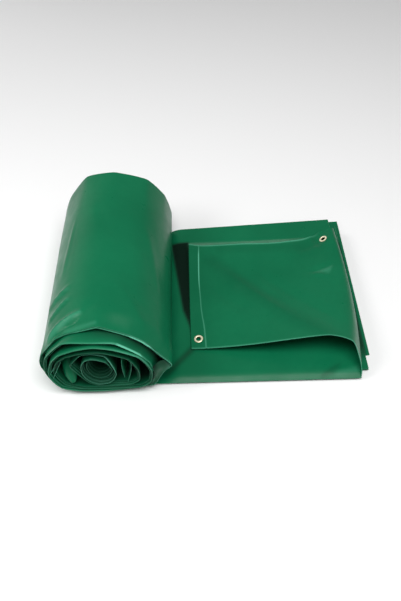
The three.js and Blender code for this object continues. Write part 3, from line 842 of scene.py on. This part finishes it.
def flap(cloth):
    share = np.linspace(FLAP_START_SHARE, 1, FLAP_STEPS)
    depth = np.linspace(FLAP_MARGIN, 1 - FLAP_MARGIN, FLAP_ROWS)
    blocks = []
    for _, _, (s, d), (along_share, along_depth) in SEATS:
        half_s, half_d = EYELET_HOLE / along_share, EYELET_HOLE / along_depth
        share = with_lines(share, [s - half_s, s + half_s], half_s * CLEAR_OF_HOLE)
        depth = with_lines(depth, [d - half_d, d + half_d], half_d * CLEAR_OF_HOLE)
        blocks.append((s - half_s, s + half_s, d - half_d, d + half_d))
    share = with_lines(share, WELD_SHARE + np.array(WELD_STEPS), CLEAR_OF_WELD)
    edge = np.array(FLAP_EDGE_ROWS)
    depth = np.concatenate([edge, depth, 1 - edge[::-1]])
    s, d = grid_of(share, depth)
    wander = along(WELD_DEPTHS, WELD_SHIFT, d)
    s = s + wander * (1 - smooth(abs(s - WELD_SHARE) / WELD_SHIFT_OVER))
    grid = flap_point(s, d)
    on_weld = 1 - smooth(abs(s - WELD_SHARE - wander) / WELD_STEPS[-2])
    lift = WELD_HEIGHT * on_weld[..., None] * np.array([0, 0, 1])
    grid = creased(grid + lift, normals_of(grid), FLAP_CREASES)
    pale, shade = flap_tones(s, d, grid[..., :2], on_weld)
    y = mix(LAYERS[TOP_LEVEL]["front"][1] + ROOT["front_inset"], ROOT["back_y"], depth)
    roots = [layer_point(TOP_LEVEL, along(TURN_Y, TURN_X, y) - inset, y) for inset in (ROOT["lap"], 0)]
    grid = np.concatenate([np.stack(roots), grid])
    hem = np.maximum(
        smooth((s - WELD_SHARE) / HEM_STEP),
        smooth((d - SIDE_HEM_DEPTH) / HEM_STEP) * rising(s, SIDE_HEM_START),
    )
    thickness = mix(FLAP_THICKNESS, HEM_THICKNESS, hem)
    start = np.zeros((len(roots), len(depth)))
    thickness = np.concatenate([start + ROOT_THICKNESS, thickness])
    pale, shade = [np.concatenate([start, rows]) for rows in (pale, shade)]
    s = np.concatenate([np.array(ROOT_SHARES)[:, None] * FLAP_START_SHARE + start, s])
    d = np.concatenate([d[:2], d])
    uv = np.stack([s * FLAP_LENGTH, d * BAND_WIDTH], -1)
    last = len(share) + 1
    holes = []
    for s0, s1, d0, d1 in blocks:
        rows = [last - 2 - int(abs(share - value).argmin()) for value in (s1, s0)]
        holes.append((*rows, int(abs(depth - d0).argmin()), int(abs(depth - d1).argmin())))
    tones = {"pale": pale[::-1], "shade": shade[::-1], "edge_pale": LOOSE_EDGE_PALE}
    cloth.add(grid[::-1], thickness[::-1], uv[::-1], holes=holes, **tones)


# Small folds of the inner layers that show in the roll's open end
def lobe(cloth):
    """A soft round-ended fold along a ridge line, open below."""
    steps, across = LOBE["grid"]
    share = np.linspace(0, 1, steps)
    points, ahead = on_line(open_line(LOBE["ridge"]), share)
    side = unit(np.cross(ahead, [0, 0, 1]))
    up = np.cross(side, ahead)
    angle = np.linspace(-1, 1, across) * LOBE["spread"]
    start, end = LOBE["start"], LOBE["end"]
    ending = np.maximum((share - end["from"]) / end["over"], 0)
    size = LOBE["radius"] * np.sqrt(np.maximum(1 - ending**2, end["least"]))
    size = (size * (start["least"] + start["more"] * rising(share, start)))[:, None, None]
    arc = np.sin(angle)[:, None] * side[:, None] + (np.cos(angle)[:, None] - 1) * up[:, None]
    grid = points[:, None] + arc * size
    uv = np.stack(grid_of(share * LOBE["length"], angle * LOBE["radius"]), -1)
    cloth.add(grid[:, ::-1], CLOTH_THICKNESS, uv[:, ::-1])


def pleat(cloth, front, back_shift, pale):
    """A narrow strip of cloth whose front edge follows the points, running back into the roll."""
    share, back = np.linspace(0, 1, PLEAT_STEPS), np.array(PLEAT_SHARES)
    points = on_line(open_line(front), share)[0]
    grid = points[:, None] + back[None, :, None] * np.array(back_shift, float)
    uv = np.stack(grid_of(share, back), -1) * PLEAT_CLOTH
    cloth.add(grid, CLOTH_THICKNESS, uv, pale=np.array(PLEAT_PALE) * pale, edge_pale=pale)


def gusset(cloth):
    across, share = grid_of(*[np.linspace(0, 1, count) for count in GUSSET_GRID])
    outer, inner = [on_line(open_line(GUSSET[side]), share[0])[0] for side in ("outer", "inner")]
    grid = mix(outer, inner, across[..., None])
    grid[..., 1] += GUSSET["hollow"] * np.sin(across * math.pi)
    uv = np.stack([across, share], -1) * GUSSET_CLOTH
    tone = GUSSET_PALE
    pale = tone["most"] * (1 - smooth(across / tone["across"]))
    pale = pale * (1 - smooth(abs(share - tone["share"]) / tone["half"]))
    tone = GUSSET_SHADE
    shade = tone["least"] + tone["upper"] * (1 - smooth(share / tone["upper_share"]))
    shade = shade + tone["inner"] * rising(across, tone)
    cloth.add(grid, CLOTH_THICKNESS, uv, pale=pale, shade=shade, edge_pale=GUSSET_PALE["edge"])


# Materials
GREENS = {
    "deep": (0.0026, 0.130, 0.054, 1),
    "light": (0.0042, 0.152, 0.064, 1),
    "mottled": (0.0015, 0.122, 0.052, 1),
    # colour of painted highlights, and of whitened cloth at cut edges
    "highlight_and_wear": (0.15, 0.60, 0.40, 1),
    "shaded": (0.0012, 0.012, 0.006, 1),
}
BRASSES = {
    "clean": (1.0, 0.95, 0.70, 1),
    "tarnished": (0.80, 0.66, 0.36, 1),
    # dark brass: dirt, and painted shadow at the washer's outer edge and in the barrel
    "dirty_and_shaded": (0.20, 0.13, 0.04, 1),
}
WAVES_A_UNIT = 6.5  # bands of the wave texture in a metre for a scale of 1


def new_material(name):
    """A material, its nodes' tree and its shader."""
    material = bpy.data.materials.new(name)
    material.use_nodes = True
    return material, material.node_tree, material.node_tree.nodes["Principled BSDF"]


def noise(tree, place, scale, detail, roughness=0.5):
    made = tree.nodes.new("ShaderNodeTexNoise")
    made.inputs["Scale"].default_value = scale
    made.inputs["Detail"].default_value = detail
    made.inputs["Roughness"].default_value = roughness
    tree.links.new(place, made.inputs["Vector"])
    return made.outputs["Fac"]


def ranged(tree, value, span, to):
    """The value moved from one span of numbers to another, and kept within it."""
    made = tree.nodes.new("ShaderNodeMapRange")
    for title, number in zip(("From Min", "From Max", "To Min", "To Max"), (*span, *to)):
        made.inputs[title].default_value = number
    tree.links.new(value, made.inputs["Value"])
    return made.outputs["Result"]


def blended(tree, factor, first, second):
    """The first colour turning into the second as the factor goes from 0 to 1."""
    made = tree.nodes.new("ShaderNodeMix")
    made.data_type = "RGBA"
    tree.links.new(factor, made.inputs["Factor"])
    for title, value in (("A", first), ("B", second)):
        if isinstance(value, tuple):
            made.inputs[title].default_value = value
        else:
            tree.links.new(value, made.inputs[title])
    return made.outputs["Result"]


def bumped(tree, height, strength, distance, under=None):
    made = tree.nodes.new("ShaderNodeBump")
    made.inputs["Strength"].default_value = strength
    made.inputs["Distance"].default_value = distance
    tree.links.new(height, made.inputs["Height"])
    if under:
        tree.links.new(under, made.inputs["Normal"])
    return made.outputs["Normal"]


def combined(tree, operation, *values):
    made = tree.nodes.new("ShaderNodeMath")
    made.operation = operation
    for socket, value in enumerate(values):
        tree.links.new(value, made.inputs[socket])
    return made.outputs["Value"]


def attribute(tree, title):
    made = tree.nodes.new("ShaderNodeAttribute")
    made.attribute_name = title
    return made.outputs["Fac"]


def threads(tree, place, direction):
    made = tree.nodes.new("ShaderNodeTexWave")
    made.bands_direction = direction
    made.inputs["Scale"].default_value = THREADS_A_METRE / WAVES_A_UNIT
    made.inputs["Distortion"].default_value = 0.4
    made.inputs["Detail"].default_value = 1
    tree.links.new(place, made.inputs["Vector"])
    return made.outputs["Fac"]


def coated_cloth():
    material, tree, shader = new_material("coated_cloth")
    shader.inputs["Specular IOR Level"].default_value = 0.17

    space = tree.nodes.new("ShaderNodeTexCoord")
    solid, flat = space.outputs["Object"], space.outputs["UV"]
    cloudy = ranged(tree, noise(tree, solid, scale=5, detail=3), (0.35, 0.65), to=(0, 1))
    mottled = ranged(tree, noise(tree, solid, scale=60, detail=4), (0.3, 0.7), to=(0, 1))
    green = blended(tree, cloudy, GREENS["deep"], GREENS["light"])
    green = blended(tree, ranged(tree, mottled, (0, 1), to=(0, 0.25)), green, GREENS["mottled"])
    # Painted highlights, with some whitened cloth at cut edges, from the pale values; painted shade from the
    # shade values
    green = blended(tree, attribute(tree, "pale"), green, GREENS["highlight_and_wear"])
    green = blended(tree, attribute(tree, "shade"), green, GREENS["shaded"])
    tree.links.new(green, shader.inputs["Base Color"])

    smeared = noise(tree, solid, scale=22, detail=5, roughness=0.6)
    gloss = ranged(tree, smeared, (0.3, 0.7), to=(0.27, 0.40))
    dull = ranged(tree, attribute(tree, "shade"), (0.2, 1), to=(0.2, 0.95))
    tree.links.new(combined(tree, "MAXIMUM", gloss, dull), shader.inputs["Roughness"])

    weave = combined(tree, "MULTIPLY", *[threads(tree, flat, direction) for direction in ("X", "Y")])
    soft = bumped(tree, noise(tree, solid, scale=14, detail=2), strength=0.5, distance=0.0016)
    ripples = noise(tree, solid, scale=160, detail=2)
    rippled = bumped(tree, ripples, strength=0.12, distance=0.0004, under=soft)
    woven = bumped(tree, weave, strength=0.18, distance=0.0001, under=rippled)
    tree.links.new(woven, shader.inputs["Normal"])
    return material


def brass():
    material, tree, shader = new_material("brass")
    shader.inputs["Metallic"].default_value = 0.4
    space = tree.nodes.new("ShaderNodeTexCoord").outputs["Object"]
    tarnish = ranged(tree, noise(tree, space, scale=240, detail=4), (0.45, 0.75), to=(0, 0.6))
    # Dark brass where the value is low: dirt, and painted shadow at the washer's outer edge and in the barrel
    rubbed_and_shaded = attribute(tree, "wear")
    yellow = blended(tree, tarnish, BRASSES["clean"], BRASSES["tarnished"])
    tree.links.new(blended(tree, rubbed_and_shaded, BRASSES["dirty_and_shaded"], yellow), shader.inputs["Base Color"])
    tree.links.new(ranged(tree, tarnish, (0, 0.6), to=(0.24, 0.42)), shader.inputs["Roughness"])
    scratches = noise(tree, space, scale=900, detail=2)
    scratched = bumped(tree, scratches, strength=0.15, distance=0.0001)
    tree.links.new(scratched, shader.inputs["Normal"])
    return material


# Half section of an eyelet: how far from its axis, how far above the cloth's middle, and its wear and painted
# shade (low at the washer's outer edge and in the barrel, where dark brass stands for dirt and shadow), from
# the pressed washer's outer edge over its rolled crown and down the barrel to the under side
EYELET_SECTION = [
    (11.9, -1.4, 0.0), (12.0, 1.2, 0.1), (11.8, 1.6, 0.3), (11.2, 1.9, 0.8),
    (10.2, 2.25, 1.0), (9.2, 2.45, 1.0), (8.3, 2.4, 1.0), (7.4, 2.1, 1.0),
    (6.7, 1.6, 0.7), (6.3, 0.8, 0.1), (6.2, 0.0, 0.0), (6.2, -1.0, 0.0),
    (6.6, -1.9, 0.2), (8.0, -2.3, 0.8), (10.2, -2.2, 0.8), (11.6, -1.9, 0.4),
]
EYELET_STEPS = 64


def eyelet(name, seat):
    point, normal = seat[:2]
    ahead = unit(np.cross(normal, [0, 1, 0]))
    side = np.cross(normal, ahead)
    section = np.array(EYELET_SECTION)
    angle = np.arange(EYELET_STEPS) / EYELET_STEPS * 2 * math.pi
    around = np.cos(angle)[:, None] * ahead + np.sin(angle)[:, None] * side
    grid = point + around[:, None] * section[:, :1] + section[:, 1:2] * normal
    count = len(section)
    cell = np.arange(EYELET_STEPS * count).reshape(EYELET_STEPS, count)
    onward = np.roll(cell, -1, 0)
    beside, across = np.roll(cell, -1, 1), np.roll(onward, -1, 1)
    faces = np.stack([cell, onward, across, beside], -1).reshape(-1, 4)
    wear = np.tile(section[:, 2], EYELET_STEPS)
    return placed(name, mesh_of(name, grid.reshape(-1, 3), faces, wear=wear))


cloth = Cloth()
roll(cloth)
loose(cloth)
flap(cloth)
lobe(cloth)
for fold in PLEATS:
    pleat(cloth, *fold)
gusset(cloth)
tarp = cloth.object("tarp", coated_cloth())
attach(tarp, "root")
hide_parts("tarp_cloth", "hem_end", "hem_side")

brass_material = brass()
for title, seat in zip(("front", "back"), SEATS):
    ring = eyelet("ring_" + title, seat)
    ring.data.materials.append(brass_material)
    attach(ring, "root")
    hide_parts("eyelet_" + title)


# Floor, light and camera, in metres and watts
FLOOR_HALF = 6.0
FLOOR_BELOW = 0.0005
FLOOR_COLOUR = (0.95, 0.95, 0.95, 1)
FLOOR_ROUGHNESS = 0.9
HORIZON = {"up_to": 0.4, "strength": (0.5, 0.26)}  # from the horizon, and above it
LIGHTS = [
    {"name": "key", "place": (0.3, -0.95, 2.9), "at": (0, 0, 0.1), "size": (2.4, 1.4), "watts": 74},
    {"name": "left", "place": (-1.7, -0.35, 1.65), "at": (-0.3, -0.15, 0.2), "size": (0.8, 0.7), "watts": 15},
    {"name": "left back", "place": (-1.7, 1.6, 0.9), "at": (-0.25, 0, 0.15), "size": (1.6, 1.2), "watts": 4},
]
CAMERA_PLACE = [-46.5, -1104.5, 1328.0]  # in millimetres, in the part's own axes
CAMERA_DOWN = 50  # degrees
CAMERA_RIGHT = 1.45
SENSOR = 36
LENS_BY_HEIGHT = 613 / 601  # of the picture


def floor():
    mesh = bpy.data.meshes.new("floor")
    corners = [(-1, -1), (1, -1), (1, 1), (-1, 1)]
    points = [(x * FLOOR_HALF, y * FLOOR_HALF, 0) for x, y in corners]
    mesh.from_pydata(points, [], [(0, 1, 2, 3)])
    material, _, shader = new_material("floor")
    shader.inputs["Base Color"].default_value = FLOOR_COLOUR
    shader.inputs["Roughness"].default_value = FLOOR_ROUGHNESS
    mesh.materials.append(material)
    obj = placed("floor", mesh)
    obj.location.z = -FLOOR_BELOW


def soft_light(name, place, at, size, watts):
    light = bpy.data.lights.new(name, "AREA")
    light.shape = "RECTANGLE"
    light.size, light.size_y = size
    light.energy = watts
    obj = placed(name, light)
    obj.location = place
    obj.rotation_euler = (Vector(at) - Vector(place)).to_track_quat("-Z", "Y").to_euler()


def world():
    made = bpy.data.worlds.new("world")
    bpy.context.scene.world = made
    made.use_nodes = True
    tree = made.node_tree
    direction = tree.nodes.new("ShaderNodeTexCoord").outputs["Generated"]
    parts = tree.nodes.new("ShaderNodeSeparateXYZ")
    tree.links.new(direction, parts.inputs["Vector"])
    strength = ranged(tree, parts.outputs["Z"], (0, HORIZON["up_to"]), to=HORIZON["strength"])
    tree.links.new(strength, tree.nodes["Background"].inputs["Strength"])
    tree.nodes["Background"].inputs["Color"].default_value = (1, 1, 1, 1)
    bpy.context.scene.view_settings.view_transform = "Standard"


def camera():
    data = bpy.data.cameras.new("camera")
    data.sensor_width = SENSOR
    data.lens = SENSOR * LENS_BY_HEIGHT
    obj = placed("camera", data)
    pitch, yaw = math.radians(CAMERA_DOWN), math.radians(CAMERA_RIGHT)
    ahead = (math.sin(yaw) * math.cos(pitch), math.cos(yaw) * math.cos(pitch), -math.sin(pitch))
    obj.location = Vector(in_frame(CAMERA_PLACE))
    obj.rotation_euler = Vector(ahead).to_track_quat("-Z", "Y").to_euler()
    bpy.context.scene.camera = obj


floor()
world()
for light in LIGHTS:
    soft_light(**light)
camera()
